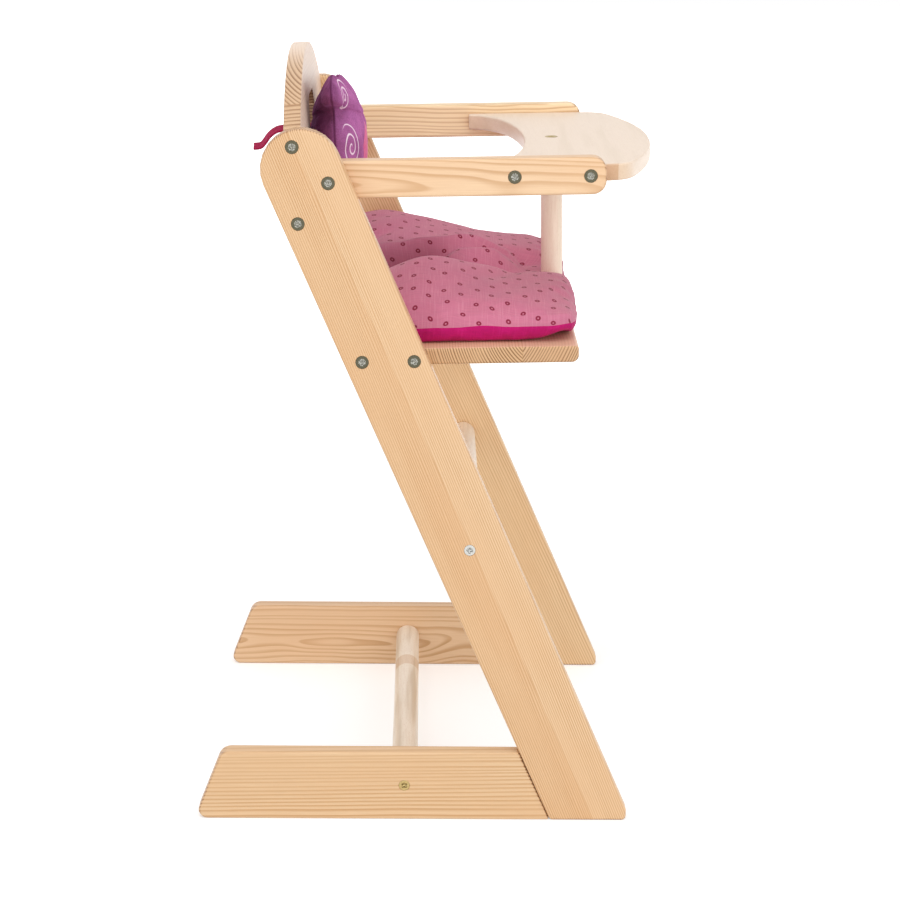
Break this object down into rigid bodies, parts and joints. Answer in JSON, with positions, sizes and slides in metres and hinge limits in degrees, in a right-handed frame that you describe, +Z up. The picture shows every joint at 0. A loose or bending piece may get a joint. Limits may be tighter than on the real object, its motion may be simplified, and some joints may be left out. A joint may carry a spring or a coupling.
{
  "type": "doll high chair",
  "caption": "Wooden doll high chair with slanting side frames, arched backrest, swing-up tray with a leg post, ring-print seat cushion and a butterfly cushion.",
  "frame": {"origin": "on the floor, in the middle of the chair's width and depth", "axes": "+Z up, -Y to the front, X across the width"},
  "size_m": [0.287, 0.306, 0.5103],
  "materials": {
    "pine": "clear lacquer, satin",
    "beech": "clear lacquer, satin",
    "dark_zinc_steel": "dark olive zinc plate",
    "bright_zinc_steel": "bright zinc plate",
    "yellow_zinc_steel": "yellow zinc plate",
    "pink_ring_cotton": "printed woven cotton",
    "purple_velour": "short-pile velour with pale swirls",
    "pink_cotton": "plain woven cotton",
    "magenta_tape": "woven cotton tape"
  },
  "bodies": {
    "frame": {"upright_right": "pine", "runner_right": "pine", "glue_dowel_lower_right": "beech", "glue_dowel_upper_right": "beech", "upright_left": "pine", "runner_left": "pine", "glue_dowel_lower_left": "beech", "glue_dowel_upper_left": "beech", "floor_stretcher": "beech", "footrest_bar": "beech", "floor_stretcher_screw_right": "yellow_zinc_steel", "footrest_bar_screw_right": "bright_zinc_steel", "floor_stretcher_screw_left": "yellow_zinc_steel", "footrest_bar_screw_left": "bright_zinc_steel", "seat_board": "pine", "seat_screw_front_right": "dark_zinc_steel", "seat_screw_front_left": "dark_zinc_steel", "seat_screw_rear_right": "dark_zinc_steel", "seat_screw_rear_left": "dark_zinc_steel", "backrest_board": "pine", "backrest_screw_lower_right": "dark_zinc_steel", "backrest_screw_lower_left": "dark_zinc_steel", "backrest_screw_upper_right": "dark_zinc_steel", "backrest_screw_upper_left": "dark_zinc_steel", "seat_cushion": "pink_ring_cotton", "butterfly_wings": "purple_velour", "butterfly_body": "pink_cotton", "tape_near": "magenta_tape", "tape_far": "magenta_tape"},
    "tray": {"armrest_right": "pine", "hinge_screw_right": "dark_zinc_steel", "armrest_left": "pine", "hinge_screw_left": "dark_zinc_steel", "tray_board": "beech", "tray_screw_rear_right": "dark_zinc_steel", "tray_screw_rear_left": "dark_zinc_steel", "tray_screw_front_right": "dark_zinc_steel", "tray_screw_front_left": "dark_zinc_steel", "crotch_post": "beech", "post_screw": "yellow_zinc_steel"}
  },
  "joints": [
    {"name": "tray_swing", "type": "hinge", "parent": "frame", "child": "tray", "pos_m": [0, 0.0618, 0.4392], "axis": [-1, 0, 0], "range_deg": [0, 97]}
  ]
}
